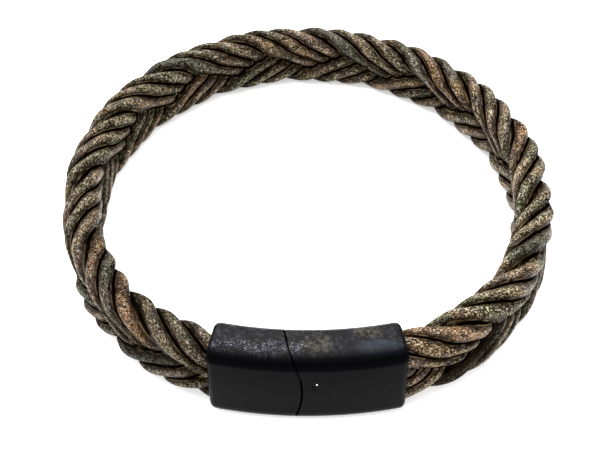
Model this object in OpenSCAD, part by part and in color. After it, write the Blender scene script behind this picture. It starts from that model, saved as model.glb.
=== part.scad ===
// Braided leather bracelet, lying on its side with its clasp at the front (-Y).
// Nine round leather cords run in three bundles of three, plaited flat and
// glued into the two halves of a gently curved black metal clasp.
// The origin is under the middle of the loop, on the surface it rests on.

/* [Loop] */
// From the middle of the loop to the middle of the braid at the sides
loop_side = 34.1; // [32:0.1:38]
// From the middle of the loop to the middle of the braid at the back
loop_back = 36.9; // [34:0.05:40]
// From the middle of the loop to the middle of the clasp
loop_front = 36.55; // [33:0.05:38]
// Share of the clasp's slant that the braid keeps as it leaves the left mouth
bend_left = 0; // [-0.5:0.1:1]
// Share of that slant that it keeps as it leaves the right mouth
bend_right = 0.3; // [-0.5:0.1:1]

/* [Clasp] */
// Length of the closed clasp along its curve
clasp_l = 25.2; // [22:0.1:28]
// Height of the clasp
clasp_h = 12; // [11:0.25:14]
// Thickness of the clasp
clasp_t = 6.5; // [6:0.25:8]
// Radius of the clasp's curve at its middle
clasp_curve_r = 53; // [45:1:70]
// Rounding of the clasp's long edges
clasp_edge_r = 1.8; // [1:0.1:2.2]
// How far the clasp's ends lean from square to its middle, in degrees
end_lean = 9.5; // [5:0.5:14]
// Height of the mouth that the braid is glued into
mouth_h = 10.8; // [9.6:0.1:10.8]
// Thickness of that mouth
mouth_t = 5.2; // [4.6:0.1:5.2]
// Rounding of the mouth's corners
mouth_edge_r = 1.2; // [0.8:0.1:1.3]
// Depth of the mouth
mouth_l = 6.5; // [5:0.25:7]

/* [Parting] */
// Place where the parting line bulges furthest right, from the clasp's middle
part_x = -1.4; // [-2:0.1:0]
// Height of that place
part_z = 6.1; // [5:0.1:7]
// Radius of the parting line
part_r = 15.4; // [10:0.1:18]
// How far the parting is turned from square to the clasp, in degrees
part_turn = 11.8; // [0:0.1:15]
// Gap between the closed halves
part_gap = 0.2; // [0.1:0.05:0.3]

/* [Coupling] */
// Length of the hidden piece that couples the halves
coupling_l = 7; // [5:0.25:8]
// Height of that piece
coupling_h = 7; // [5:0.25:8]
// Thickness of that piece
coupling_t = 3; // [2:0.25:3.5]
// Clearance round it in its sockets
coupling_gap = 0.15; // [0.1:0.05:0.25]

/* [Braid] */
// Turns of the plait from one clasp mouth to the other
plait_turns = 4.43; // [4:0.01:5]
// Phase of the first bundle at the left mouth, in degrees
plait_phase = 51; // [0:1:120]
// How far the plait runs ahead at the back of the loop, in degrees
sway_half = 16; // [0:1:24]
// Unevenness of the plait that comes once a loop, in degrees
sway_once = -6; // [-12:1:12]
// Unevenness of the plait that comes twice a loop, in degrees
sway_twice = 7; // [-12:1:12]
// How far a bundle's middle swings up and down
swing_up = 4.15; // [3.8:0.05:4.3]
// How far a bundle's middle swings in and out
swing_out = 1.75; // [1.7:0.05:1.9]
// Half width of a bundle where it lies across the braid's middle
wide_mid = 3.2; // [2.4:0.1:3.3]
// Half width of a bundle where it turns at the braid's edge
wide_edge = 1.05; // [0.9:0.05:1.15]
// Half thickness of a bundle where it passes over or under another
thick_pass = 1.1; // [1:0.05:1.15]
// Half thickness of a bundle between those places
thick_full = 1.45; // [1.2:0.05:1.5]
// How far the free braid settles below the clasp's middle, to lie on the surface
braid_drop = 0.75; // [0:0.05:0.75]
// How much less the braid swings up and down where it is flattest, at the back right
low_by = 0.38; // [0:0.02:0.6]
// Clearance between the braid and the walls of the mouths
braid_gap = 0.25; // [0.25:0.05:0.4]

/* [Hidden] */
$fn = 48;
mid_z = clasp_h / 2;
BUNDLES = 3;
// Steepens the swing in and out, so that a bundle lies flat where it passes
PASS_FLAT = 0.7;
// Stations along a bundle and corners of its section
STATIONS = 98;
CORNERS = 12;
// Room between a bundle's end and the floor of its mouth
END_ROOM = 0.3;
// Angle past a mouth where the braid starts to widen, and over which it does
NARROW_START = 2.5;
NARROW_ANGLE = 5;
// Angle past a mouth over which the braid settles
DROP_ANGLE = 60;
// Angle where the braid is flattest, and over which that fades out on both sides
LOW_AT = 210;
LOW_ANGLE = 85;
// Angle past a mouth where the sections start to turn square to the loop
SQUARE_START = 3;
// More than any size of the clasp, for cutting shapes
OVERSIZE = 40;

// Half the angle that the clasp's curve spans, and where its end lies
clasp_angle = clasp_l / 2 / clasp_curve_r * 180 / PI;
clasp_centre_y = clasp_curve_r - loop_front;
end_x = clasp_curve_r * sin(clasp_angle);
end_y = clasp_centre_y - clasp_curve_r * cos(clasp_angle);
end_r = norm([end_x, end_y]);
end_angle = atan2(end_x, -end_y);
full_slope = end_r * tan(end_angle - clasp_angle);
loop_mean = (loop_side + loop_back) / 2;
braid_angle = 360 - 2 * end_angle;

// Length of the loop that one turn of the plait takes
plait_pitch = braid_angle / plait_turns * PI / 180 * loop_mean;

// Half sizes of the free braid, and how far the mouths squeeze it
braid_half_h = swing_up + wide_edge;
braid_half_t = max([for (f = [0 : 3 : 90]) bundle_mid(f)[1] + bundle_thick(f)]);
squeeze_h = (mouth_h / 2 - braid_gap) / braid_half_h;
squeeze_t = (mouth_t / 2 - braid_gap) / braid_half_t;
inset_angle = (mouth_l - END_ROOM) / clasp_l * 2 * end_angle;

// Smooth step from 0 to 1
function smooth(t) = let (u = max(0, min(1, t))) u * u * (3 - 2 * u);

// The loop is measured by the angle w from the front, clockwise from above.
// Angle from the front either way round, 0 to 180
function from_front(w) = w > 180 ? 360 - w : w;

// Radius of the loop from a clasp end to the side
function front_radius(f, bend) =
    let (
        span = 90 - end_angle,
        t = max(0, min(1, (f - end_angle) / span)),
        start = 2 * t * t * t - 3 * t * t + 1,
        lean = (t * t * t - 2 * t * t + t) * span * PI / 180
    )
    start * end_r + lean * bend * full_slope + (1 - start) * loop_side;

// Radius of the loop round the back, where it is half an oval
function back_radius(f) =
    loop_side * loop_back / norm([loop_back * sin(f), loop_side * cos(f)]);

function loop_radius(w) =
    let (f = from_front(w))
    f < 90 ? front_radius(f, w < 180 ? bend_left : bend_right) : back_radius(f);

// Point of the centreline at angle w, on the clasp's curve in the clasp
function loop_point(w) =
    from_front(w) < end_angle
        ? let (t = (w > 180 ? w - 360 : w) / end_angle * clasp_angle)
            [-clasp_curve_r * sin(t), clasp_centre_y - clasp_curve_r * cos(t)]
        : let (r = loop_radius(w)) [-r * sin(w), -r * cos(w)];

// Direction that points out of the loop at angle w
function loop_out(w) =
    let (
        step = 0.05,
        along = loop_point(w + step) - loop_point(w - step)
    )
    [-along[1], along[0]] / norm(along);

// How much of its free size the braid has at angle w
function narrowing(w, squeezed) =
    squeezed + (1 - squeezed) * smooth((from_front(w) - end_angle - NARROW_START) / NARROW_ANGLE);

// How far the braid has settled at angle w
function drop(w) = braid_drop * smooth((from_front(w) - end_angle) / DROP_ANGLE);

// How much less the braid swings up and down at angle w
function lowering(w) = low_by * smooth(1 - abs(w - LOW_AT) / LOW_ANGLE);

// Place in the model of a point given along, out of and up from the centreline
function place(w, along, outward, up) =
    let (
        v = w + along / loop_mean * 180 / PI,
        xy = loop_point(v) + loop_out(v) * outward * narrowing(v, squeeze_t),
        rise = narrowing(v, squeeze_h) * (1 - lowering(v) / braid_half_h)
    )
    [xy[0], xy[1], mid_z - drop(v) - lowering(v) + up * rise];

// Phase of the first bundle at angle w
function plait_angle(w) =
    let (
        u = (w - end_angle) / braid_angle,
        sway = sway_half * sin(180 * u) + sway_once * sin(360 * u) + sway_twice * sin(720 * u)
    )
    plait_phase + 360 * plait_turns * u + sway;

// A bundle's middle at phase f, on a straight braid: along, out, up
function bundle_mid(f) =
    let (z = sin(2 * f))
    [f / 360 * plait_pitch, swing_out * z * (1 + PASS_FLAT * (1 - z * z)), swing_up * sin(f)];

// Half width and half thickness of a bundle at phase f
function bundle_wide(f) = wide_edge + (wide_mid - wide_edge) * pow(cos(f), 2);
function bundle_thick(f) = thick_pass + (thick_full - thick_pass) * pow(cos(2 * f), 2);

// How far a section is turned from square to the bundle to square to the loop,
// so that the ends stand flat on the floors of the mouths
function squaring(w) =
    smooth((end_angle + SQUARE_START - from_front(w)) / (inset_angle + SQUARE_START));

// One oval section of a bundle
function bundle_section(w, f) =
    let (
        mid = bundle_mid(f),
        run = bundle_mid(f + 0.5) - bundle_mid(f - 0.5),
        run_unit = run / norm(run),
        side = [run_unit[2], 0, -run_unit[0]] / norm([run_unit[2], run_unit[0]]),
        lift = cross(run_unit, side)
    )
    [
        for (k = [0 : CORNERS - 1])
            let (
                a = k / CORNERS * 360,
                tilted = side * bundle_wide(f) * cos(a) + lift * bundle_thick(f) * sin(a),
                p = tilted - run_unit * tilted[0] / run_unit[0] * squaring(w)
            )
            place(w, p[0], mid[1] + p[1], mid[2] + p[2])
    ];

// Both triangles of each side face between two stations
function side_faces(stations) = [
    for (i = [0 : stations - 2], k = [0 : CORNERS - 1])
        let (
            a = i * CORNERS + k,
            b = i * CORNERS + (k + 1) % CORNERS
        )
        each [[a, b + CORNERS, b], [a, a + CORNERS, b + CORNERS]]
];

// A fan of triangles that closes one end
function end_faces(first, forward) = [
    for (k = [1 : CORNERS - 2])
        forward ? [first, first + k, first + k + 1] : [first, first + k + 1, first + k]
];

// A flattened bundle of three cords, plaited round the loop
module bundle(number) {
    start = end_angle - inset_angle;
    span = 360 - 2 * start;
    sections = [
        for (i = [0 : STATIONS - 1])
            let (
                w = start + span * i / (STATIONS - 1),
                f = plait_angle(w) + 360 * number / BUNDLES
            )
            bundle_section(w, f)
    ];
    points = [for (section = sections) each section];
    faces = concat(
        side_faces(STATIONS),
        end_faces(0, true),
        end_faces((STATIONS - 1) * CORNERS, false)
    );
    polyhedron(points = points, faces = faces, convexity = 10);
}

// A rounded outline of a section of the clasp, thickness by height
module rounded_outline(t, h, r) {
    translate([-t / 2, mid_z - h / 2 + r])
        square([t, h - 2 * r]);
    translate([-t / 2 + r, mid_z - h / 2])
        square([t - 2 * r, h]);
    for (x = [-1, 1], z = [-1, 1])
        translate([x * (t / 2 - r), mid_z + z * (h / 2 - r)])
            circle(r = r);
}

// Sweeps an outline along the clasp's curve, between two angles from its middle
module along_clasp(from, to) {
    translate([0, clasp_centre_y, 0])
        rotate([0, 0, from - 90])
            rotate_extrude(angle = to - from)
                translate([clasp_curve_r, 0])
                    children();
}

// Everything past one end of the clasp
module past_clasp_end(side) {
    translate([side * end_x, end_y, mid_z])
        rotate([0, 0, side * end_lean])
            translate([side * OVERSIZE / 2, 0, 0])
                cube(OVERSIZE, center = true);
}

// The whole clasp with both mouths and the coupling's socket, before parting
module clasp_body() {
    mouth_angle = mouth_l / clasp_curve_r * 180 / PI;
    past_end = 2;
    difference() {
        along_clasp(-clasp_angle - past_end, clasp_angle + past_end)
            rounded_outline(clasp_t, clasp_h, clasp_edge_r);
        along_clasp(clasp_angle - mouth_angle, clasp_angle + 2 * past_end)
            rounded_outline(mouth_t, mouth_h, mouth_edge_r);
        along_clasp(-clasp_angle - 2 * past_end, -clasp_angle + mouth_angle)
            rounded_outline(mouth_t, mouth_h, mouth_edge_r);
        translate([0, -loop_front, mid_z])
            cube([coupling_l, coupling_t, coupling_h] + 2 * coupling_gap * [1, 1, 1], center = true);
        for (side = [-1, 1])
            past_clasp_end(side);
    }
}

// A cylinder from front to back whose right side is the parting line
module left_of_parting(shift) {
    translate([part_x, -loop_front, part_z])
        rotate([0, 0, part_turn])
            translate([-part_r, OVERSIZE / 2, 0])
                rotate([90, 0, 0])
                    cylinder(h = OVERSIZE, r = part_r + shift, $fn = 96);
}

module clasp_half_left() {
    color([0.10, 0.10, 0.11])
        intersection() {
            clasp_body();
            left_of_parting(-part_gap / 2);
        }
}

module clasp_half_right() {
    color([0.12, 0.12, 0.13])
        difference() {
            clasp_body();
            left_of_parting(part_gap / 2);
        }
}

// The hidden piece that holds the halves together
module coupling_core() {
    color([0.55, 0.56, 0.58])
        translate([0, -loop_front, mid_z])
            cube([coupling_l, coupling_t, coupling_h], center = true);
}

module strand_1() {
    color([0.36, 0.33, 0.26])
        bundle(0);
}

module strand_2() {
    color([0.31, 0.32, 0.26])
        bundle(1);
}

module strand_3() {
    color([0.42, 0.33, 0.23])
        bundle(2);
}

clasp_half_left();
clasp_half_right();
coupling_core();
strand_1();
strand_2();
strand_3();
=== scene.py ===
"""Braided leather bracelet: the looks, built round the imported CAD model.

Nine round leather cords in three bundles of three are plaited flat. Their paths are
relaxed until they only touch, then each cord is a tube that flattens where it is
pressed against its neighbours. The clasp halves are lofted shells with rounded edges,
open mouths and a socket for the coupling piece. Sizes here are in millimetres and turn
into metres when a mesh is made.
"""

import math

import bpy
import numpy as np
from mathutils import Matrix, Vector


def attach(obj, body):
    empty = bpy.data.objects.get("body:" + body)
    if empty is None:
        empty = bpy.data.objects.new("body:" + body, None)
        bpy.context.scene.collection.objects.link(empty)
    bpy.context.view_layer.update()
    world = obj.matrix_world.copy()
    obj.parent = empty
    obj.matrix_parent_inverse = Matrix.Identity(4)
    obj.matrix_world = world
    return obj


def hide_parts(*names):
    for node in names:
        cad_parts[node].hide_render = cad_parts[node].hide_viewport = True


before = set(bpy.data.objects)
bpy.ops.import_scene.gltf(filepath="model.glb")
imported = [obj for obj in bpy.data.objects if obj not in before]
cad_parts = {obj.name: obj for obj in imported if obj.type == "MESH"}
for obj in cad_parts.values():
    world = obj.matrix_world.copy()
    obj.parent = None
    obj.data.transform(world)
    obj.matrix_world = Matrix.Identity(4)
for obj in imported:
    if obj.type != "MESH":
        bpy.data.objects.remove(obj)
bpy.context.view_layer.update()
MM = 0.001
TAU = 2 * math.pi

# The sizes down to LOW_SPAN are those of the CAD model.

# From the middle of the loop to the middle of the braid at the sides and at the back,
# and to the middle of the clasp at the front
LOOP_SIDE = 34.1
LOOP_BACK = 36.9
LOOP_FRONT = 36.55
# Height of the clasp's middle
MID_Z = 6.0
# The clasp's length along its curve, height, thickness, curve and long edges' rounding
CLASP_L = 25.2
CLASP_H = 12.0
CLASP_T = 6.5
CURVE_R = 53.0
EDGE_R = 1.8
# The mouths' height, thickness, corners' rounding and depth
MOUTH_H = 10.8
MOUTH_T = 5.2
MOUTH_EDGE_R = 1.2
MOUTH_L = 6.5
# How far the clasp's ends lean from square to its middle
END_LEAN = math.radians(9.5)
# The parting line's place furthest right, the height of that place, the line's radius,
# its turn from square to the clasp and the gap there
PART_X = -1.4
PART_Z = 6.1
PART_R = 15.4
PART_TURN = math.radians(11.8)
PART_GAP = 0.2
# Half sizes of the sockets of the coupling piece: along, across and up
SOCKET_HALF_L = 3.65
SOCKET_HALF_T = 1.65
SOCKET_HALF_H = 3.65
# Turns of the plait between the mouths and its phase at the left one
PLAIT_TURNS = 4.43
PLAIT_PHASE = math.radians(51)
# How far the plait runs ahead at the back, and unevenly once and twice a loop
SWAY_HALF = math.radians(16)
SWAY_ONCE = math.radians(-6)
SWAY_TWICE = math.radians(7)
# How far the braid settles below the clasp's middle, and over which angle
BRAID_DROP = 0.75
DROP_SPAN = math.radians(60)
# How much flatter the braid is at the back right, the middle of that and its reach
LOW_BY = 0.38
LOW_AT, LOW_SPAN = math.radians(210), math.radians(85)

# Middle of the clasp's curve, mean radius of the loop, and where the clasp's end lies
CENTRE_Y = CURVE_R - LOOP_FRONT
LOOP_MEAN = (LOOP_SIDE + LOOP_BACK) / 2
HALF_L = CLASP_L / 2
CLASP_ANGLE = HALF_L / CURVE_R
END_X = CURVE_R * math.sin(CLASP_ANGLE)
END_Y = CENTRE_Y - CURVE_R * math.cos(CLASP_ANGLE)
END_RADIUS = math.hypot(END_X, END_Y)
END_W = math.atan2(END_X, -END_Y)
# Share of the clasp's slant that the braid keeps as it leaves each mouth
BEND_LEFT, BEND_RIGHT = 0.0, 0.3
FULL_SLOPE = END_RADIUS * math.tan(END_W - CLASP_ANGLE)
# Angles in the table of arc lengths, and half the step for directions
TABLE_SIZE = 20001
ANGLE_STEP = 2e-3
# How far each cord goes into a mouth
END_INSET = 6.1


def from_front(w):
    """Angle from the front either way round."""
    return np.abs((w + np.pi) % TAU - np.pi)


def loop_point(w):
    """Points of the centreline at angles w from the front, clockwise from above."""
    f = from_front(w)
    span = np.pi / 2 - END_W
    t = np.clip((f - END_W) / span, 0, 1)
    start = 2 * t**3 - 3 * t**2 + 1
    bend = np.where(w % TAU < np.pi, BEND_LEFT, BEND_RIGHT)
    lean = (t**3 - 2 * t**2 + t) * span * bend * FULL_SLOPE
    front = start * END_RADIUS + lean + (1 - start) * LOOP_SIDE
    back = LOOP_SIDE * LOOP_BACK / np.hypot(LOOP_BACK * np.sin(f), LOOP_SIDE * np.cos(f))
    r = np.where(f < np.pi / 2, front, back)
    free = np.stack([-r * np.sin(w), -r * np.cos(w)], -1)
    a = ((w + np.pi) % TAU - np.pi) / END_W * CLASP_ANGLE
    held = np.stack([-CURVE_R * np.sin(a), CENTRE_Y - CURVE_R * np.cos(a)], -1)
    return np.where((f < END_W)[..., None], held, free)


W_TABLE = np.linspace(0.0, TAU, TABLE_SIZE)
S_TABLE = np.r_[0.0, np.cumsum(np.hypot(*np.diff(loop_point(W_TABLE), axis=0).T))]
S_LEFT = HALF_L
S_RIGHT = S_TABLE[-1] - HALF_L


def loop_frame(s):
    """Angle, point and outward direction of the centreline at arc lengths s."""
    w = np.interp(s, S_TABLE, W_TABLE)
    run = loop_point(w + ANGLE_STEP) - loop_point(w - ANGLE_STEP)
    run /= np.linalg.norm(run, axis=-1)[..., None]
    return w, loop_point(w), np.stack([-run[..., 1], run[..., 0]], -1)


def ease(t):
    """Smooth step from 0 to 1."""
    t = np.clip(t, 0.0, 1.0)
    return t * t * (3 - 2 * t)


def cord_stations(step):
    """Arc lengths along a whole cord, about step apart."""
    count = int(round((S_RIGHT - S_LEFT + 2 * END_INSET) / step)) + 1
    return np.linspace(S_LEFT - END_INSET, S_RIGHT + END_INSET, count)


# Least distance of two cords' middles, and a cord's radius
CORD_SPACING = 1.95
CORD_R = 1.05
# How far the cords of a bundle are apart in the plait's turn
CORD_PHASE = math.radians(31)
# How far a cord swings up and down and in and out, and how pointed its turns are
SWING_UP = 4.2
SWING_OUT = 1.6
POINTED = 0.08
# How suddenly a cord changes sides at the middle and at the edges, and how much of its
# phase it waits for that
CROSS_FAST = 2.5
CROSS_SLOW = 1.2
CROSS_SHIFT = 0.5
# How unevenly the cords lie along the plait and in height
WANDER_ALONG = math.radians(3)
WANDER_UP = 0.1
# Furthest that a cord's middle may lie up and out, free and in the mouths, and the
# length over which that changes
FREE_UP, FREE_OUT = 4.1, 1.85
HELD_UP, HELD_OUT = 4.15, 1.45
HELD_FADE = 5.0
# Relaxing: distance of stations, rounds, and the shares of a round's moves
RELAX_STEP = 0.5
RELAX_ROUNDS = 200
RELAX_PUSH = 0.25
RELAX_PULL = 0.015
RELAX_SMOOTH = 0.3
RELAX_LIMIT = 0.2
SEED = 7


def plait_angle(w):
    """Phase of the first bundle at angle w."""
    u = (w - END_W) / (TAU - 2 * END_W)
    sway = SWAY_HALF * np.sin(np.pi * u)
    sway = sway + SWAY_ONCE * np.sin(TAU * u) + SWAY_TWICE * np.sin(2 * TAU * u)
    return PLAIT_PHASE + TAU * PLAIT_TURNS * u + sway


def wander(rng, w, low, high):
    """A smooth random curve, about -1 to 1, of waves from low to below high a loop."""
    waves = [
        rng.uniform(-1, 1) * np.sin(k * w + rng.uniform(0, TAU)) for k in range(low, high)
    ]
    return sum(waves) / math.sqrt(len(waves))


def lowering(w):
    """How much less the braid rises and falls at angle w than at the front."""
    return LOW_BY * ease(1 - np.abs(w - LOW_AT) / LOW_SPAN)


def plait_start(s, rng):
    """Nine cords as (outward, up) offsets at each station, before they are relaxed.

    A cord rises on the outside, turns over the top edge and falls on the inside to the
    middle, where it changes sides, and does the same below. The three cords of a bundle
    change sides one after the other, each between two cords of the bundles it crosses.
    """
    w = loop_frame(s)[0]
    cords = []
    for bundle in range(3):
        for place in (-1, 0, 1):
            phase = (
                plait_angle(w)
                + TAU * bundle / 3
                + CORD_PHASE * place
                + WANDER_ALONG * wander(rng, w, 1, 10)
            )
            middle = np.cos(phase) ** 2
            z = np.sin(2 * (phase - CROSS_SHIFT * CORD_PHASE * place * middle))
            speed = CROSS_SLOW + (CROSS_FAST - CROSS_SLOW) * middle
            outward = SWING_OUT * np.tanh(speed * z) / np.tanh(speed)
            up = SWING_UP - lowering(w) + WANDER_UP * wander(rng, w, 2, 12)
            up = up * (np.sin(phase) - POINTED * np.sin(3 * phase)) / (1 + POINTED)
            cords.append(np.stack([outward, up], -1))
    return np.array(cords)


def relax(start, s):
    """Pushes cords apart until they only touch, as near to their start as they can stay."""
    ds = s[1] - s[0]
    n = len(s)
    reach = int(math.ceil(CORD_SPACING / ds))
    held = ease((np.maximum(S_LEFT - s, s - S_RIGHT) + HELD_FADE) / HELD_FADE)
    limits = (
        FREE_OUT + (HELD_OUT - FREE_OUT) * held,
        FREE_UP + (HELD_UP - FREE_UP) * held - lowering(loop_frame(s)[0]),
    )
    other = ~np.eye(9, dtype=bool)[:, :, None]
    x = start.copy()
    for _ in range(RELAX_ROUNDS):
        push = np.zeros_like(x)
        hits = np.zeros(x.shape[:2])
        for k in range(-reach, reach + 1):
            lo, hi = max(0, -k), min(n, n - k)
            a, b = x[:, None, lo:hi], x[None, :, lo + k : hi + k]
            across = b - a
            along = k * ds * (1 + (a[..., 0] + b[..., 0]) / 2 / LOOP_MEAN)
            flat = np.sqrt((across * across).sum(-1)) + 1e-9
            short = CORD_SPACING - np.sqrt(along * along + flat * flat)
            short = np.where(other, np.clip(short, 0, None), 0)
            push[:, lo:hi] -= (across * (RELAX_PUSH * short / flat)[..., None]).sum(1)
            hits[:, lo:hi] += (short > 0).sum(1)
        moved = x + push / np.sqrt(np.maximum(hits, 1))[..., None] - start
        padded = np.concatenate([moved[:, :1], moved, moved[:, -1:]], 1)
        moved += RELAX_SMOOTH * ((padded[:, 2:] + padded[:, :-2]) / 2 - moved)
        x = start + moved * (1 - RELAX_PULL)
        for axis, most in enumerate(limits):
            over = np.abs(x[..., axis]) - most
            x[..., axis] -= np.where(over > 0, np.sign(x[..., axis]) * over * RELAX_LIMIT, 0)
    return x


def resample(x, s, fine):
    """Cubic resampling of each cord's offsets to finer stations."""
    at = (fine - s[0]) / (s[1] - s[0])
    i = np.clip(np.floor(at).astype(int), 0, len(s) - 2)
    t = (at - i)[:, None]
    pick = [np.clip(i + k, 0, len(s) - 1) for k in (-1, 0, 1, 2)]
    p0, p1, p2, p3 = (x[:, p] for p in pick)
    return 0.5 * (
        2 * p1
        + (p2 - p0) * t
        + (2 * p0 - 5 * p1 + 4 * p2 - p3) * t * t
        + (3 * p1 - p0 - 3 * p2 + p3) * t * t * t
    )


def braid_middle(s):
    """Points of the braid's middle line and the outward directions there."""
    w, point, outward = loop_frame(s)
    drop = BRAID_DROP * ease((from_front(w) - END_W) / DROP_SPAN) + lowering(w)
    return np.concatenate([point, (MID_Z - drop)[:, None]], -1), outward


def cord_centres(offsets, s):
    """Centre points in the model, of shape cords by stations by 3."""
    middle, outward = braid_middle(s)
    xy = middle[None, :, :2] + outward[None] * offsets[..., :1]
    return np.concatenate([xy, middle[None, :, 2:] + offsets[..., 1:]], -1)


def tube_axes(centre):
    """Two cross directions at each station, turning as little as possible."""
    tangent = np.gradient(centre, axis=0)
    tangent /= np.linalg.norm(tangent, axis=1)[:, None]
    side = np.zeros_like(centre)
    last = np.array([0.0, 0.0, 1.0])
    for i, t in enumerate(tangent):
        last = last - t * (last @ t)
        last = last / np.linalg.norm(last)
        side[i] = last
    return side, np.cross(tangent, side)


# Stations along a cord and corners of its section
RINGS = 800
SECTORS = 28
# How many stations off a neighbour is looked for, and in which steps
NEIGHBOUR_REACH = 12
NEIGHBOUR_STEP = 2
# Room of a spoke that meets no neighbour
OPEN_ROOM = 40.0
# Gap between pressed cords, and how softly a cord flattens there
PRESS_GAP = 0.035
PRESS_ROUND = 0.24
# How far a cord swells towards the braid's middle, how near that middle the swelling
# fades, and which spokes it takes: the cosine where it starts and over which it grows
SWELL = 0.95
SWELL_REACH = 1.2
SWELL_FROM, SWELL_OVER = 0.3, 0.4
# Shares of the radius by which a cord is thicker or thinner, and oval, and how far the
# oval turns, in radians
GIRTH_VARIES = 0.035
OVAL = 0.035
OVAL_TURN = 2.5
# Height, lengths and number of the waves on a cord's surface
ROUGH = 0.012
ROUGH_LENGTHS = (1.6, 4.0)
ROUGH_WAVES = 10
# Room kept from a mouth's walls, where that starts before the mouth and over which
# length, and how loose it is where it starts
WALL_ROOM = 0.05
HOLD_FROM, HOLD_OVER = 1.2, 1.0
HOLD_LOOSE = 4.0


def soft_min(a, b, width):
    """The smaller of two numbers, rounded where they are about equal."""
    h = np.clip(0.5 + 0.5 * (b - a) / width, 0, 1)
    return b * (1 - h) + a * h - width * h * (1 - h)


def room_round(centres, index, spokes):
    """How far each spoke of a cord can go before it is nearer to another cord."""
    own = centres[index]
    n = len(own)
    room = np.full(spokes.shape[:2], OPEN_ROOM)
    for other in range(len(centres)):
        if other == index:
            continue
        for k in range(-NEIGHBOUR_REACH, NEIGHBOUR_REACH + 1, NEIGHBOUR_STEP):
            lo, hi = max(0, -k), min(n, n - k)
            gap = centres[other][lo + k : hi + k] - own[lo:hi]
            square = (gap * gap).sum(1)
            towards = np.einsum("nsk,nk->ns", spokes[lo:hi], gap)
            limit = square[:, None] / (2 * np.maximum(towards, 1e-6))
            room[lo:hi] = np.minimum(room[lo:hi], limit)
    return room


def surface_waves(rng, s, angle, lengths, count):
    """Random waves over a cord's surface: lengths in mm along it, whole counts round it."""
    total = 0.0
    for _ in range(count):
        k = TAU / rng.uniform(*lengths)
        m = rng.integers(0, 5)
        total = total + rng.uniform(0.4, 1) * np.sin(
            k * s[:, None] + m * angle[None] + rng.uniform(0, TAU)
        )
    return total / math.sqrt(count)


def swelling(centre, s, spokes):
    """How much further spokes towards the braid's middle reach, where cords are pressed."""
    inward = braid_middle(s)[0] - centre
    inward /= np.maximum(np.linalg.norm(inward, axis=1), SWELL_REACH)[:, None]
    facing = np.einsum("nsk,nk->ns", spokes, inward)
    return SWELL * ease((facing - SWELL_FROM) / SWELL_OVER)


def cord_surface(centres, index, s, rng):
    """Vertices of one cord, with its room and length along it, by station and sector."""
    centre = centres[index]
    side, lift = tube_axes(centre)
    angle = np.arange(SECTORS) * TAU / SECTORS
    spokes = (
        side[:, None] * np.cos(angle)[None, :, None]
        + lift[:, None] * np.sin(angle)[None, :, None]
    )
    room = room_round(centres, index, spokes)
    w = loop_frame(s)[0]
    radius = CORD_R * (1 + GIRTH_VARIES * wander(rng, w, 4, 30)[:, None])
    turn = OVAL_TURN * wander(rng, w, 1, 8)[:, None]
    radius = radius * (1 + OVAL * np.cos(2 * (angle[None] - turn)))
    radius = radius + ROUGH * surface_waves(rng, s, angle, ROUGH_LENGTHS, ROUGH_WAVES)
    radius = radius + swelling(centre, s, spokes)
    radius = soft_min(radius, room - PRESS_GAP / 2, PRESS_ROUND)
    steps = np.linalg.norm(np.diff(centre, axis=0), axis=1)
    length = np.r_[0, np.cumsum(steps)]
    points = centre[:, None] + spokes * radius[..., None]
    return hold_in_mouths(points, s), room, length, angle


def hold_in_mouths(points, s):
    """Keeps the cords' ends clear of the walls of the mouths."""
    inside = ease((np.maximum(S_LEFT - s, s - S_RIGHT) + HOLD_FROM) / HOLD_OVER)[:, None]
    flat = points[..., :2] - np.array([0.0, CENTRE_Y])
    radius = np.linalg.norm(flat, axis=-1)
    most_out = MOUTH_T / 2 - WALL_ROOM + HOLD_LOOSE * (1 - inside)
    most_up = MOUTH_H / 2 - WALL_ROOM + HOLD_LOOSE * (1 - inside)
    held = CURVE_R + np.clip(radius - CURVE_R, -most_out, most_out)
    near = (points[..., 1] < 0) & (inside > 0)
    scale = np.where(near, held / radius, 1.0)
    up = np.clip(points[..., 2] - MID_Z, -most_up, most_up)
    up = np.where(near, up, points[..., 2] - MID_Z)
    return np.concatenate(
        [flat * scale[..., None] + np.array([0.0, CENTRE_Y]), (MID_Z + up)[..., None]], -1
    )


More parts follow.
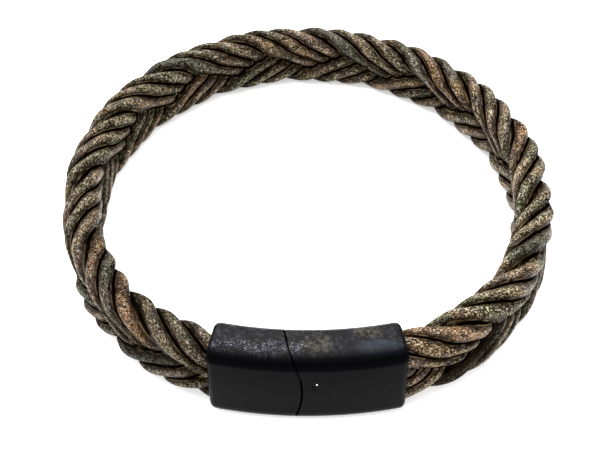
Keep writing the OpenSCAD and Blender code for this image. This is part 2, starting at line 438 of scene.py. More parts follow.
# Tints charted. Each patch: bundle, cord in it, middle and half length in mm
# along the loop from the left mouth, then how tan, how grey-green and how dark it is.
# The dark shares stand for dark leather and for painted shade where cords lie in shade.
TINT_AND_SHADE_PATCHES = [
    (0, 0, 8.0, 7.0, 0.0, 0.3, 0.4),
    (0, 0, 22.0, 4.0, 0.0, 0.5, 0.3),
    (0, 0, 55.5, 4.0, 0.15, 0.0, 0.0),
    (0, 1, 4.0, 5.5, 0.0, 0.4, 0.15),
    (0, 1, 20.5, 3.0, 0.5, 0.0, 0.2),
    (0, 1, 44.5, 3.0, 0.0, 0.3, 0.5),
    (0, 1, 98.0, 4.0, 0.45, 0.0, 0.0),
    (0, 1, 125.5, 4.0, 0.0, 0.7, 0.0),
    (0, 2, 3.0, 4.5, 0.0, 0.4, 0.0),
    (0, 2, 17.0, 4.0, 0.0, 0.3, 0.3),
    (0, 2, 75.5, 4.0, 0.55, 0.0, 0.1),
    (0, 2, 92.0, 3.5, 0.45, 0.0, 0.0),
    (0, 2, 117.0, 6.0, 0.35, 0.0, 0.0),
    (1, 0, 9.0, 7.0, 0.0, 0.8, 0.6),
    (1, 0, 126.0, 4.0, 0.0, 0.6, 0.0),
    (1, 0, 132.0, 3.0, 0.7, 0.0, 0.0),
    (1, 0, 172.5, 4.0, 0.0, 0.8, 0.3),
    (1, 0, 190.0, 6.5, 0.0, 0.4, 0.85),
    (1, 1, 5.0, 7.0, 0.0, 0.2, 0.4),
    (1, 1, 124.0, 6.0, 0.85, 0.0, 0.0),
    (1, 1, 151.5, 2.5, 0.6, 0.0, 0.0),
    (1, 2, 5.0, 7.0, 0.0, 0.1, 0.3),
    (1, 2, 74.5, 6.0, 0.0, 0.85, 0.0),
    (1, 2, 121.0, 5.0, 0.0, 0.75, 0.0),
    (2, 0, 24.0, 5.0, 0.55, 0.0, 0.0),
    (2, 0, 196.5, 4.0, 0.35, 0.0, 0.0),
    (2, 1, 17.5, 6.5, 0.0, 0.6, 0.25),
    (2, 1, 196.0, 5.0, 0.5, 0.0, 0.0),
    (2, 2, 13.8, 6.5, 0.95, 0.0, 0.0),
    (2, 2, 68.0, 5.0, 0.45, 0.0, 0.0),
    (2, 2, 88.0, 5.0, 0.0, 0.6, 0.1),
    (2, 2, 108.0, 8.0, 0.0, 0.85, 0.15),
    (2, 2, 148.5, 5.0, 0.9, 0.0, 0.0),
    (2, 2, 194.0, 6.0, 0.75, 0.0, 0.0),
]
# All cords are darker near the left mouth, there darker leather with painted shade, and at
# the back, painted shade: middle, half length, how dark.
PAINTED_SHADE_SPANS = [(12.0, 24.0, 0.37), (103.0, 40.0, 0.13)]
# Where a patch has faded out, in half lengths from its middle
PATCH_END = 1.35
# Offsets that give each cord its own stretch of the leather's patterns
LAY_ALONG = 300.0
LAY_ACROSS = 10.0


def patch_fade(s, middle, half):
    """How much of a patch shows at arc lengths s."""
    return ease(PATCH_END - np.abs(s - S_LEFT - middle) / half)


def tint_and_shade_shares(bundle, cord, s):
    """Tan, green and dark shares along one cord; the dark share is dark leather and painted
    shade.
    """
    share = np.zeros((len(s), 3))
    for middle, half, dark in PAINTED_SHADE_SPANS:
        share[:, 2] = np.maximum(share[:, 2], dark * patch_fade(s, middle, half))
    for b, c, middle, half, tan, green, dark in TINT_AND_SHADE_PATCHES:
        if (b, c) == (bundle, cord):
            fade = patch_fade(s, middle, half)
            share = np.maximum(share, fade[:, None] * np.array([tan, green, dark]))
    return share


def new_piece(name, vertices, faces, material, node):
    """A smooth mesh piece in metres that rides on the bracelet and replaces a node."""
    mesh = bpy.data.meshes.new(name)
    mesh.from_pydata([tuple(v) for v in np.asarray(vertices) * MM], [], faces)
    mesh.validate()
    mesh.shade_smooth()
    piece = bpy.data.objects.new(name, mesh)
    bpy.context.scene.collection.objects.link(piece)
    mesh.materials.append(material)
    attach(piece, "root")
    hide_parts(node)
    return piece


def add_values(piece, name, values):
    """A per-vertex attribute: one number or three for each vertex."""
    values = np.asarray(values, np.float32)
    kind, field = ("FLOAT", "value") if values.ndim == 1 else ("FLOAT_VECTOR", "vector")
    attribute = piece.data.attributes.new(name, kind, "POINT")
    attribute.data.foreach_set(field, values.ravel())


def tube_faces(first, rings, sectors):
    """Quads round a tube and a fan at each end, facing outwards."""
    faces = []
    for i in range(rings - 1):
        a = first + i * sectors
        for k in range(sectors):
            n = (k + 1) % sectors
            faces.append((a + k, a + n, a + sectors + n, a + sectors + k))
    start, end = first + rings * sectors, first + rings * sectors + 1
    last = first + (rings - 1) * sectors
    for k in range(sectors):
        n = (k + 1) % sectors
        faces.append((start, first + n, first + k))
        faces.append((end, last + k, last + n))
    return faces


def make_bundles(material):
    """The three bundles, each one piece of three cords with its attributes."""
    rng = np.random.default_rng(SEED)
    s = cord_stations(RELAX_STEP)
    offsets = relax(plait_start(s, rng), s)
    fine = np.linspace(s[0], s[-1], RINGS)
    centres = cord_centres(resample(offsets, s, fine), fine)
    for bundle in range(3):
        vertices, faces, lay, shown, tint_and_shade = [], [], [], [], []
        for cord in range(3):
            index = 3 * bundle + cord
            points, room, length, angle = cord_surface(centres, index, fine, rng)
            first = sum(len(v) for v in vertices)
            ends = np.array([points[0].mean(0), points[-1].mean(0)])
            vertices.append(np.concatenate([points.reshape(-1, 3), ends]))
            faces += tube_faces(first, RINGS, SECTORS)
            coords = np.zeros((RINGS, SECTORS, 3))
            coords[..., 0] = length[:, None] + LAY_ALONG * index
            coords[..., 1] = CORD_R * np.cos(angle)[None] + LAY_ACROSS * index
            coords[..., 2] = CORD_R * np.sin(angle)[None]
            lay.append(with_ends(coords))
            shown.append(with_ends(np.clip(1 - CORD_SPACING / 2 / room, 0, 1)))
            share = tint_and_shade_shares(bundle, cord, fine)
            tint_and_shade.append(with_ends(np.repeat(share[:, None], SECTORS, 1)))
        name = f"leather_bundle_{bundle + 1}"
        node = f"strand_{bundle + 1}"
        piece = new_piece(
            name, np.concatenate(vertices), faces, material, node
        )
        add_values(piece, "lay", np.concatenate(lay))
        add_values(piece, "shown", np.concatenate(shown))
        add_values(piece, "tint_and_shade", np.concatenate(tint_and_shade))


def with_ends(values):
    """Flattens station by sector values and adds one for each end's middle vertex."""
    flat = values.reshape(values.shape[0] * values.shape[1], *values.shape[2:])
    return np.concatenate([flat, [values[0].mean(0), values[-1].mean(0)]])


# Rounding of the clasp's ends, of the parting's edges and of the mouths' lips
END_ROUND = 0.9
SEAM_ROUND = 0.06
LIP_ROUND = 0.1
# Share of a lip's rounding that its middle ring takes
LIP_MIDDLE = 0.3
# Steps round a corner, along a socket's side, over an end, along the wall and at the seam
CORNER_STEPS = 8
SOCKET_STEPS = 14
END_STEPS = 8
WALL_STEPS = 24
SEAM_STEPS = 3
# The band attribute's reach below the top in roundings, and its strength before it is cut
BAND_REACH = 1.15
BAND_GAIN = 2.2


def seam_x(z, t):
    """Where the parting line lies at height z and the distance t outwards."""
    bow = PART_R - math.sqrt(PART_R**2 - (z - PART_Z) ** 2)
    return PART_X - bow / math.cos(PART_TURN) + t * math.tan(PART_TURN)


def outline(half_t, half_h, corner, side_heights):
    """Right side of a rounded outline from bottom to top, as (outward, height) pairs.
    The heights of the straight side's points are given as shares of its length."""
    low = [
        (
            half_t - corner + corner * math.sin(a),
            MID_Z - half_h + corner - corner * math.cos(a),
        )
        for a in (k / CORNER_STEPS * math.pi / 2 for k in range(CORNER_STEPS + 1))
    ]
    straight = half_h - corner
    side = [(half_t, MID_Z + straight * h) for h in side_heights]
    high = [(t, 2 * MID_Z - z) for t, z in reversed(low)]
    return low + side + high


def socket_shares(straight):
    """Heights of the outline's side points, with the socket's edges among them."""
    low = -SOCKET_HALF_H / straight
    inner = [low + (-2 * low) * k / SOCKET_STEPS for k in range(SOCKET_STEPS + 1)]
    outer = [(-1 + low) / 2, (1 - low) / 2]
    return [outer[0], *inner, outer[1]]


def arc_point(angle, outward, z):
    """A point at an angle along the clasp's curve and a distance outwards from it."""
    r = CURVE_R + outward
    return (r * math.sin(angle), CENTRE_Y - r * math.cos(angle), z)


def clasp_half(name, sign, node, material):
    """One half: sign -1 is the left one and 1 the right one, seen from the front."""
    straight = CLASP_H / 2 - EDGE_R
    shares = socket_shares(straight)
    vertices, faces, edge, band, seam = [], [], [], [], []

    def ring(inset, place, on_edge, at_seam=0.0):
        """A closed ring of the outer outline, drawn in by inset."""
        right = outline(CLASP_T / 2 - inset, CLASP_H / 2 - inset, EDGE_R - inset, shares)
        return add_ring(right, place, on_edge, at_seam)

    def add_ring(right, place, on_edge, at_seam=0.0):
        """A closed ring: place gives the angle of a point from its outward and height."""
        first = len(vertices)
        for t, z in right + [(-t, z) for t, z in reversed(right)]:
            vertices.append(arc_point(place(t, z), t, z))
            bend = min(max((z - CLASP_H + BAND_REACH * EDGE_R) / EDGE_R, 0.0), 1.0)
            band.append(min(1.0, BAND_GAIN * math.sin(math.pi * bend) ** 2))
            edge.append(on_edge)
            seam.append(at_seam)
        return first

    count = 2 * len(outline(1.0, 1.0, 0.5, shares))

    def bridge(a, b):
        """Quads between two rings."""
        for k in range(count):
            n = (k + 1) % count
            quad = (a + k, b + k, b + n, a + n)
            faces.append(quad if sign > 0 else quad[::-1])

    def end_angle(t, depth):
        """Angle of the leaning end face moved in by depth, at the distance t outwards."""
        reach = CURVE_R * math.sin(CLASP_ANGLE - END_LEAN) - depth
        return sign * (END_LEAN + math.asin(reach / (CURVE_R + t)))

    def from_end(depth):
        """A place on the leaning end face moved in by depth."""
        return lambda t, z: end_angle(t, depth)

    def to_seam(share, back):
        """A share of the way from the end to the seam, stopping back mm short of it."""

        def place(t, z):
            """The angle of the point at outward t and height z."""
            x = seam_x(z, t) + sign * (PART_GAP / 2 + back)
            at_seam = math.asin(x / (CURVE_R + t))
            start = end_angle(t, END_ROUND)
            return start + (at_seam - start) * share

        return place

    mouth_shares = socket_shares(MOUTH_H / 2 - MOUTH_EDGE_R)

    def mouth(grow, place):
        """A closed ring of the mouth's outline, widened by grow."""
        right = outline(
            MOUTH_T / 2 + grow, MOUTH_H / 2 + grow, MOUTH_EDGE_R + grow, mouth_shares
        )
        return add_ring(right, place, 0.0)

    def mouth_floor(t, z):
        """The angle of the mouth's floor, the same all over it."""
        return sign * (CLASP_ANGLE - MOUTH_L / CURVE_R)

    def end_depth(inset):
        """How far the rounded end lies back at this inset from the outer face."""
        return END_ROUND - math.sqrt(END_ROUND**2 - (END_ROUND - inset) ** 2)

    wall = (CLASP_T - MOUTH_T) / 2 - LIP_ROUND
    lip = end_depth(wall)
    rings = [mouth(0.0, mouth_floor), mouth(0.0, from_end(MOUTH_L / 2))]
    rings.append(mouth(0.0, from_end(lip + LIP_ROUND)))
    rings.append(mouth(LIP_ROUND * LIP_MIDDLE, from_end(lip + LIP_ROUND * LIP_MIDDLE)))
    for k in range(END_STEPS + 1):
        inset = wall * (1 - math.sin(k / END_STEPS * math.pi / 2))
        rings.append(ring(inset, from_end(end_depth(inset)), 1.0 - k / END_STEPS))
    for k in range(1, WALL_STEPS + 1):
        rings.append(ring(0.0, to_seam(k / WALL_STEPS, SEAM_ROUND), 0.0))
    for k in range(1, SEAM_STEPS + 1):
        a = k / SEAM_STEPS * math.pi / 2
        inset = SEAM_ROUND * (1 - math.cos(a))
        back = SEAM_ROUND * (1 - math.sin(a))
        rings.append(ring(inset, to_seam(1.0, back), 0.0, 1.0))
    for a, b in zip(rings, rings[1:]):
        bridge(a, b)
    close_floor(faces, rings[0], count, sign)
    close_seam(vertices, faces, rings[-1], count, sign)
    piece = new_piece(name, vertices, faces, material, node)
    for field, values, rest in (("band", band, 0.0), ("edge", edge, 0.0), ("seam", seam, 1.0)):
        add_values(piece, field, values + [rest] * (len(vertices) - len(values)))


def close_floor(faces, first, count, sign):
    """The mouth's floor: strips between points of equal height on both sides."""
    for k in range(count // 2 - 1):
        quad = (
            first + k,
            first + k + 1,
            first + count - 2 - k,
            first + count - 1 - k,
        )
        faces.append(quad if sign > 0 else quad[::-1])


def close_seam(vertices, faces, first, count, sign):
    """The parting face, in strips, with the open socket of the coupling piece."""
    half = count // 2
    floor_x = sign * SOCKET_HALF_L
    rows = []
    for k in range(half):
        z = vertices[first + k][2]
        inner = []
        for t in (SOCKET_HALF_T, -SOCKET_HALF_T):
            inner.append(len(vertices))
            vertices.append((seam_x(z, t) + sign * PART_GAP / 2, -LOOP_FRONT - t, z))
        rows.append((first + k, inner[0], inner[1], first + count - 1 - k))

    def add(*quad):
        """One face that looks towards the other half."""
        faces.append(quad if sign < 0 else quad[::-1])

    def is_open(k):
        """Whether the strip above row k is part of the socket's opening."""
        low, high = vertices[rows[k][0]][2], vertices[rows[k + 1][0]][2]
        return min(low, 2 * MID_Z - high) > MID_Z - SOCKET_HALF_H - 0.01

    deep = {}

    def floor_point(index):
        """The point of the socket's floor behind a point of its edge."""
        if index not in deep:
            _, y, z = vertices[index]
            deep[index] = len(vertices)
            vertices.append((floor_x, y, z))
        return deep[index]

    for k in range(half - 1):
        a, b = rows[k], rows[k + 1]
        add(a[0], a[1], b[1], b[0])
        add(a[2], a[3], b[3], b[2])
        if not is_open(k):
            add(a[1], a[2], b[2], b[1])
            continue
        f = [floor_point(i) for i in (a[1], a[2], b[1], b[2])]
        add(f[0], f[1], f[3], f[2])
        add(a[1], f[0], f[2], b[1])
        add(f[1], a[2], b[2], f[3])
        if not (k > 0 and is_open(k - 1)):
            add(a[1], a[2], f[1], f[0])
        if not is_open(k + 1):
            add(f[2], f[3], b[2], b[1])


class Nodes:
    """Short calls for building one material's node tree."""

    def __init__(self, name):
        """A new material with a shader joined to its output."""
        self.material = bpy.data.materials.new(name)
        self.material.use_nodes = True
        self.tree = self.material.node_tree
        self.tree.nodes.clear()
        self.output = self.tree.nodes.new("ShaderNodeOutputMaterial")
        self.shader = self.tree.nodes.new("ShaderNodeBsdfPrincipled")
        self.join(self.shader.outputs[0], self.output.inputs["Surface"])

    def join(self, a, b):
        """Links an output to an input."""
        self.tree.links.new(a, b)

    def feed(self, socket, value):
        """Links a node's output to a socket, or sets a plain value on it."""
        if isinstance(value, bpy.types.NodeSocket):
            self.join(value, socket)
        else:
            socket.default_value = value

    def attribute(self, name, output="Fac"):
        """An attribute of the mesh."""
        node = self.tree.nodes.new("ShaderNodeAttribute")
        node.attribute_name = name
        return node.outputs[output]

    def split(self, vector):
        """The three parts of a vector."""
        node = self.tree.nodes.new("ShaderNodeSeparateXYZ")
        self.join(vector, node.inputs[0])
        return node.outputs

    def stretch(self, vector, scale):
        """A vector with each part multiplied by its scale."""
        node = self.tree.nodes.new("ShaderNodeVectorMath")
        node.operation = "MULTIPLY"
        self.join(vector, node.inputs[0])
        node.inputs[1].default_value = scale
        return node.outputs[0]

    def noise(self, vector, scale, detail=2.0, roughness=0.5, distortion=0.0):
        """A noise pattern, about 0.3 to 0.7."""
        node = self.tree.nodes.new("ShaderNodeTexNoise")
        self.join(vector, node.inputs["Vector"])
        node.inputs["Scale"].default_value = scale
        node.inputs["Detail"].default_value = detail
        node.inputs["Roughness"].default_value = roughness
        node.inputs["Distortion"].default_value = distortion
        return node.outputs[0]

    def cells(self, vector, scale):
        """Three random numbers for each small cell of a Voronoi pattern."""
        node = self.tree.nodes.new("ShaderNodeTexVoronoi")
        self.join(vector, node.inputs["Vector"])
        node.inputs["Scale"].default_value = scale
        return self.split(node.outputs["Color"])

    def distance(self, vector, point, scale):
        """Distance from a point, in a space stretched by scale."""
        node = self.tree.nodes.new("ShaderNodeVectorMath")
        node.operation = "DISTANCE"
        self.join(self.stretch(vector, scale), node.inputs[0])
        node.inputs[1].default_value = [p * s for p, s in zip(point, scale)]
        return node.outputs["Value"]

    def ramp(self, value, low, high, to_low=0.0, to_high=1.0):
        """A smooth step: to_low where the value is at low, to_high where it is at high."""
        node = self.tree.nodes.new("ShaderNodeMapRange")
        node.interpolation_type = "SMOOTHSTEP"
        self.join(value, node.inputs["Value"])
        for name, number in (
            ("From Min", low),
            ("From Max", high),
            ("To Min", to_low),
            ("To Max", to_high),
        ):
            node.inputs[name].default_value = number
        return node.outputs["Result"]

    def math(self, operation, a, b):
        """One sum, product or the like of two numbers."""
        node = self.tree.nodes.new("ShaderNodeMath")
        node.operation = operation
        self.feed(node.inputs[0], a)
        self.feed(node.inputs[1], b)
        return node.outputs[0]

    def mix(self, share, a, b):
        """Colour a with a share of colour b."""
        node = self.tree.nodes.new("ShaderNodeMix")
        node.data_type = "RGBA"
        self.feed(node.inputs[0], share)
        self.feed(node.inputs[6], a)
        self.feed(node.inputs[7], b)
        return node.outputs[2]

    def bump(self, height, strength, distance, normal=None):
        """A normal from a height pattern, on top of another one if given."""
        node = self.tree.nodes.new("ShaderNodeBump")
        node.inputs["Strength"].default_value = strength
        node.inputs["Distance"].default_value = distance
        self.join(height, node.inputs["Height"])
        if normal is not None:
            self.join(normal, node.inputs["Normal"])
        return node.outputs[0]


def rgb(red, green, blue):
    """A colour given as it looks on a screen, 0 to 255, as linear numbers."""
    parts = [c / 255 for c in (red, green, blue)]
    linear = [c / 12.92 if c <= 0.04045 else ((c + 0.055) / 1.055) ** 2.4 for c in parts]
    return (*linear, 1.0)


# The leather's colours: its two base tones and the tints' tones
BROWN, OLIVE = rgb(90, 60, 29), rgb(57, 60, 34)
GREY_GREEN = rgb(40, 46, 36)
TAN_DARK, TAN_LIGHT = rgb(88, 59, 36), rgb(116, 81, 48)
# Dark stains and grain lines, and the worn pale specks on plain, tan and green cords
STAINS, GRAIN_LINES = rgb(29, 19, 9), rgb(21, 13, 6)
PALE, PALE_TAN, PALE_GREEN = rgb(168, 156, 133), rgb(170, 141, 109), rgb(114, 117, 99)
# Dark specks, painted shade for the sides and bottoms of grooves, the rubbed edges beside
# them with a painted rim highlight, and what the dark share mixes in: dark leather and painted
# shade
DARK_SPECKS = rgb(8, 3, 1)
GROOVE_SIDE_SHADE, GROOVE_BOTTOM_SHADE = rgb(11, 5, 2), rgb(5, 1, 0)
RUBBED_RIM_HIGHLIGHT = rgb(128, 112, 84)
SHADE_AND_DARK_LEATHER = rgb(12, 8, 4)


def leather_material():
    """Speckled antique leather, with painted shade in its grooves. The lay attribute runs in mm
    along and round each cord, shown is 0 where cords press on each other and 1 in the open,
    and tint_and_shade has the tan, green and dark shares, the dark one dark leather and painted
    shade."""
    m = Nodes("antique_leather")
    lay = m.attribute("lay", "Vector")
    shown = m.attribute("shown")
    tan, green, dark = m.split(m.attribute("tint_and_shade", "Vector"))[:3]
    # Patterns drawn out along the cord
    broad = m.noise(m.stretch(lay, (0.5, 1.0, 1.0)), scale=0.32)
    patch = m.noise(m.stretch(lay, (0.6, 1.0, 1.0)), scale=0.7, detail=3.0, roughness=0.6)
    grain = m.noise(m.stretch(lay, (0.25, 1.0, 1.0)), scale=2.4, roughness=0.6)
    fine = m.cells(m.stretch(lay, (0.8, 1.0, 1.0)), scale=6.8)
    finer = m.cells(m.stretch(lay, (0.8, 1.0, 1.0)), scale=7.6)
    # Base tone, tints, dark stains and grain lines
    colour = m.mix(m.ramp(broad, 0.38, 0.62), BROWN, OLIVE)
    colour = m.mix(green, colour, GREY_GREEN)
    colour = m.mix(tan, colour, m.mix(m.ramp(patch, 0.35, 0.7), TAN_DARK, TAN_LIGHT))
    colour = m.mix(m.ramp(patch, 0.56, 0.4, 0.0, 0.75), colour, STAINS)
    colour = m.mix(m.ramp(grain, 0.5, 0.36, 0.0, 0.5), colour, GRAIN_LINES)
    # Pale specks of wear, more of them in some patches, and more where the cords stand out,
    # there partly a painted crest highlight
    wear_and_crest_highlight = m.math("ADD", m.math("MULTIPLY", patch, 0.8), fine[0])
    wear_and_crest_highlight = m.math("ADD", wear_and_crest_highlight, m.math("MULTIPLY", shown, 0.4))
    pale = m.mix(green, m.mix(tan, PALE, PALE_TAN), PALE_GREEN)
    colour = m.mix(m.ramp(wear_and_crest_highlight, 1.28, 1.76, 0.0, 0.95), colour, pale)
    colour = m.mix(m.ramp(finer[0], 0.42, 0.28, 0.0, 0.95), colour, DARK_SPECKS)
    # Painted shade, darker into the grooves, with a rubbed edge beside their painted black
    # bottoms
    colour = m.mix(m.ramp(shown, 0.95, 0.32, 0.0, 0.93), colour, GROOVE_SIDE_SHADE)
    # Rim: a rubbed edge with a painted rim highlight, beside the painted black shade at the
    # groove bottoms
    rim = m.math("MULTIPLY", m.ramp(shown, 0.28, 0.33), m.ramp(shown, 0.44, 0.35))
    rim = m.math("MULTIPLY", rim, m.ramp(grain, 0.42, 0.6, 0.0, 0.45))
    colour = m.mix(rim, colour, RUBBED_RIM_HIGHLIGHT)
    colour = m.mix(m.ramp(shown, 0.32, 0.16), colour, GROOVE_BOTTOM_SHADE)
    # The dark share: dark leather and painted shade
    colour = m.mix(dark, colour, SHADE_AND_DARK_LEATHER)
    m.join(colour, m.shader.inputs["Base Color"])
    m.join(m.ramp(fine[1], 0.0, 1.0, 0.3, 0.6), m.shader.inputs["Roughness"])
    # Only some cells shine, least in the grooves and on dark stretches
    sparkle = m.ramp(finer[1], 0.66, 0.96, 0.0, 0.55)
    sparkle = m.math("ADD", sparkle, m.ramp(broad, 0.52, 0.38, 0.0, 0.08))
    sparkle = m.math("MULTIPLY", sparkle, m.ramp(shown, 0.2, 0.8))
    sparkle = m.math("MULTIPLY", sparkle, m.ramp(dark, 0.0, 1.0, 1.0, 0.1))
    m.join(sparkle, m.shader.inputs["Specular IOR Level"])
    normal = m.bump(m.mix(0.5, fine[0], grain), 0.8, 0.00012)
    m.join(m.bump(patch, 0.4, 0.0002, normal), m.shader.inputs["Normal"])
    return m.material


# A small white spot and two dull pits on the clasp's front, in metres
WHITE_SPOT_AT = (0.00119, -0.0398, 0.0077)
PITS_AT = [(0.0009, -0.0398, 0.0067), (0.0006, -0.0398, 0.0072)]
# Soft oval zones on the clasp's top, in mm: middle along X, distance of the middle
# outwards from the curve, and half sizes
OLIVE_ZONES = [(1.2, 0.3, 2.3, 2.2), (7.7, -1.4, 2.2, 1.2)]
RIPPLE_ZONE = (-4.3, 1.2, 3.6, 1.8)
GLINT_ZONES = [(-9.0, 1.3, 6.0, 1.4), (-1.4, 0.6, 1.4, 1.5)]
SHEEN_ZONE = (9.3, 1.5, 3.6, 1.6)
# The top's rubbed haze and painted sheen, ripple reflections and glints fade out at these
# distances outwards from the curve, in mm, and below these heights, in metres
TOP_OUT, TOP_IN = (2.8, 0.6), (-2.9, -1.9)
TOP_LOW, TOP_HIGH = 0.011, 0.0116
# The clasp's black and what is added to it on top: rubbed haze with painted sheen, an olive
# film, painted ripple reflections, painted glints and a painted bluish sheen
BLACK, HAZE_AND_SHEEN, OLIVE_FILM = rgb(3, 3, 4), rgb(58, 58, 66), rgb(66, 62, 48)
RIPPLE_REFLECTIONS, GLINTS = rgb(104, 100, 112), rgb(124, 122, 134)
SHEEN, WHITE_SPOT = rgb(42, 48, 60), rgb(225, 225, 225)


def zone(m, where, x, outward, half_x, half_y):
    """A soft oval patch on the clasp's top: its middle and half sizes in mm."""
    r = CURVE_R + outward
    y = CENTRE_Y - math.sqrt(r * r - x * x)
    far = m.distance(where, (x * MM, y * MM, 0), (1 / half_x / MM, 1 / half_y / MM, 0))
    return m.ramp(far, 1.1, 0.5)


def clasp_material():
    """Black metal: satin on the front, with rubbed haze and painted sheen, painted ripple
    reflections and painted glints on the top. The band attribute marks the rounding below the
    top, edge the ends and seam the parting."""
    m = Nodes("black_clasp")
    where = m.tree.nodes.new("ShaderNodeTexCoord").outputs["Object"]
    band = m.attribute("band")
    edge = m.attribute("edge")
    height = m.split(where)[2]
    out = m.distance(where, (0.0, CENTRE_Y * MM, 0.0), (1.0, 1.0, 0.0))
    front = m.ramp(out, *((CURVE_R + t) * MM for t in TOP_OUT))
    back = m.ramp(out, *((CURVE_R + t) * MM for t in TOP_IN))
    # The top mask, where the rubbed haze, painted sheen, painted ripple reflections and painted
    # glints go, fainter towards the ends
    top = m.math("MULTIPLY", m.math("MULTIPLY", front, back), m.ramp(height, TOP_LOW, TOP_HIGH))
    top = m.math("MULTIPLY", top, m.ramp(edge, 0.1, 0.6, 1.0, 0.3))
    fine = m.noise(where, scale=9000.0, roughness=0.6)
    specks = m.noise(where, scale=4800.0, detail=1.0, roughness=0.4)
    wrinkle = m.noise(where, scale=1700.0, detail=4.0, roughness=0.65)
    ripple = m.noise(where, scale=800.0, detail=1.0, roughness=0.4, distortion=2.2)

    def add(colour, share, most, paint):
        """Paints the top with a share of a colour, at most so much of it."""
        share = m.math("MULTIPLY", m.math("MULTIPLY", share, top), most)
        return m.mix(share, colour, paint)

    # Rubbed haze with painted sheen over the top
    colour = add(BLACK, m.ramp(wrinkle, 0.46, 0.68), 0.35, HAZE_AND_SHEEN)
    olive = m.math("ADD", *(zone(m, where, *z) for z in OLIVE_ZONES))
    olive = m.math("MULTIPLY", olive, m.ramp(wrinkle, 0.36, 0.6))
    colour = add(colour, olive, 0.42, OLIVE_FILM)
    # Painted reflections along light ripples
    lines = m.math("MULTIPLY", m.ramp(ripple, 0.42, 0.5), m.ramp(ripple, 0.58, 0.5))
    lines = m.math("MULTIPLY", lines, m.ramp(wrinkle, 0.4, 0.6))
    lines = m.math("MULTIPLY", lines, zone(m, where, *RIPPLE_ZONE))
    colour = add(colour, lines, 0.6, RIPPLE_REFLECTIONS)
    # Painted glints
    glints = m.math("ADD", *(zone(m, where, *z) for z in GLINT_ZONES))
    glints = m.math("ADD", glints, m.math("MULTIPLY", olive, 0.35))
    glints = m.math("MULTIPLY", glints, m.ramp(specks, 0.58, 0.72))
    colour = add(colour, glints, 0.6, GLINTS)
    # Painted bluish sheen near the right end
    colour = add(colour, zone(m, where, *SHEEN_ZONE), 0.4, SHEEN)
    white_spot = m.ramp(m.distance(where, WHITE_SPOT_AT, (2.0, 1.0, 0.9)), 0.0002, 0.0001)
    colour = m.mix(white_spot, colour, WHITE_SPOT)
    m.join(colour, m.shader.inputs["Base Color"])
    m.join(m.ramp(fine, 0.3, 0.7, 0.22, 0.36), m.shader.inputs["Roughness"])
    # The shine is low, least on the band, the ends and the parting, and none in the pits
    shine = m.ramp(height, 0.002, 0.0098, 0.032, 0.017)
    shine = m.math("ADD", shine, m.math("MULTIPLY", top, 0.045))
    shine = m.math("MULTIPLY", shine, m.ramp(band, 0.0, 1.0, 1.0, 0.25))
    shine = m.math("MULTIPLY", shine, m.ramp(edge, 0.0, 0.8, 1.0, 0.5))
    shine = m.math("MULTIPLY", shine, m.ramp(m.attribute("seam"), 0.0, 0.6, 1.0, 0.0))
    for pit in PITS_AT:
        near = m.distance(where, pit, (1.0, 1.0, 1.0))
        shine = m.math("MULTIPLY", shine, m.ramp(near, 0.0001, 0.0002))
    m.join(shine, m.shader.inputs["Specular IOR Level"])
    rough = m.bump(m.math("MULTIPLY", wrinkle, top), 1.0, 0.00012)
    m.join(m.bump(fine, 0.2, 0.00003, rough), m.shader.inputs["Normal"])
    return m.material


def steel_material():
    """Blackened brushed steel, for the piece hidden in the clasp."""
    m = Nodes("coupling_steel")
    where = m.tree.nodes.new("ShaderNodeTexCoord").outputs["Object"]
    lines = m.noise(m.stretch(where, (200.0, 6000.0, 6000.0)), scale=1.0)
    m.join(m.mix(lines, rgb(30, 30, 32), rgb(44, 44, 46)), m.shader.inputs["Base Color"])
    m.shader.inputs["Metallic"].default_value = 1.0
    m.join(m.ramp(lines, 0.3, 0.7, 0.28, 0.45), m.shader.inputs["Roughness"])
    m.join(m.bump(lines, 0.2, 0.00002), m.shader.inputs["Normal"])
    return m.material


WHITE = (1.0, 1.0, 1.0, 1.0)
# The floor's half size in metres and cells a side, its grey and its soft glow, which
# keeps the shadow under the braid faint
FLOOR_HALF = 1.5
FLOOR_CELLS = 12
FLOOR_GREY = (0.9, 0.9, 0.9, 1.0)
FLOOR_GLOW = 0.4
# Brightness of the world, and place, size and watts of the light over the bracelet
WORLD_STRENGTH = 1.4
LIGHT_PLACE = (-0.2, 0.25, 0.9)
LIGHT_SIZE = (1.4, 1.2)
LIGHT_WATTS = 31.0
LIGHT_TARGET = (0.0, 0.0, 0.006)


def make_floor():
    """A plain pale floor, which isn't part of the bracelet."""
    m = Nodes("studio_floor")
    for name, value in (
        ("Base Color", FLOOR_GREY),
        ("Emission Color", WHITE),
        ("Emission Strength", FLOOR_GLOW),
        ("Roughness", 0.9),
        ("Specular IOR Level", 0.1),
    ):
        m.shader.inputs[name].default_value = value
    steps = np.linspace(-FLOOR_HALF, FLOOR_HALF, FLOOR_CELLS + 1)
    vertices = [(x, y, 0.0) for y in steps for x in steps]
    faces = []
    for j in range(FLOOR_CELLS):
        for i in range(FLOOR_CELLS):
            a = j * (FLOOR_CELLS + 1) + i
            faces.append((a, a + 1, a + FLOOR_CELLS + 2, a + FLOOR_CELLS + 1))
    mesh = bpy.data.meshes.new("studio_floor")
    mesh.from_pydata(vertices, [], faces)
    mesh.materials.append(m.material)
    floor = bpy.data.objects.new("studio_floor", mesh)
    bpy.context.scene.collection.objects.link(floor)


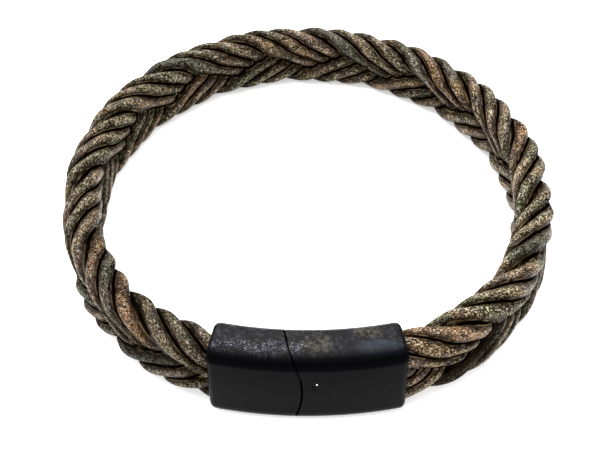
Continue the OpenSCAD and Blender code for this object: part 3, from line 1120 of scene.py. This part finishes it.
def aim(item, place, target):
    """Puts a light or camera at a place and points it at a target."""
    item.location = place
    item.rotation_euler = (Vector(target) - Vector(place)).to_track_quat("-Z", "Y").to_euler()


def make_light():
    """Soft white light from all sides, and an area light overhead."""
    world = bpy.data.worlds.new("studio")
    world.use_nodes = True
    background = world.node_tree.nodes["Background"]
    background.inputs["Color"].default_value = WHITE
    background.inputs["Strength"].default_value = WORLD_STRENGTH
    bpy.context.scene.world = world
    data = bpy.data.lights.new("overhead", "AREA")
    data.shape = "RECTANGLE"
    data.size, data.size_y = LIGHT_SIZE
    data.energy = LIGHT_WATTS
    light = bpy.data.objects.new("overhead", data)
    bpy.context.scene.collection.objects.link(light)
    aim(light, LIGHT_PLACE, LIGHT_TARGET)
    bpy.context.scene.view_settings.view_transform = "Standard"


# The camera as fitted to the photo: distance and target in metres, lens and sensor in mm
CAMERA_DISTANCE = 0.170
CAMERA_ELEVATION = math.radians(42)
CAMERA_TARGET = (0.0, -0.00135, 0.006)
CAMERA_LENS = 66.36
CAMERA_SENSOR = 36.0
CAMERA_SHIFT = (-0.01267, -0.0547)
CAMERA_CLIP = 0.01


def make_camera():
    """The camera at the photo's viewing angle."""
    data = bpy.data.cameras.new("photo_camera")
    data.lens = CAMERA_LENS
    data.sensor_width = CAMERA_SENSOR
    data.shift_x, data.shift_y = CAMERA_SHIFT
    data.clip_start = CAMERA_CLIP
    camera = bpy.data.objects.new("photo_camera", data)
    bpy.context.scene.collection.objects.link(camera)
    x, y, z = CAMERA_TARGET
    back = CAMERA_DISTANCE * math.cos(CAMERA_ELEVATION)
    place = (x, y - back, z + CAMERA_DISTANCE * math.sin(CAMERA_ELEVATION))
    aim(camera, place, CAMERA_TARGET)
    bpy.context.scene.camera = camera


make_floor()
make_light()
make_camera()
make_bundles(leather_material())
black = clasp_material()
clasp_half("clasp_left", -1, "clasp_half_left", black)
clasp_half("clasp_right", 1, "clasp_half_right", black)
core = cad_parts["coupling_core"]
core.data.materials.clear()
core.data.materials.append(steel_material())
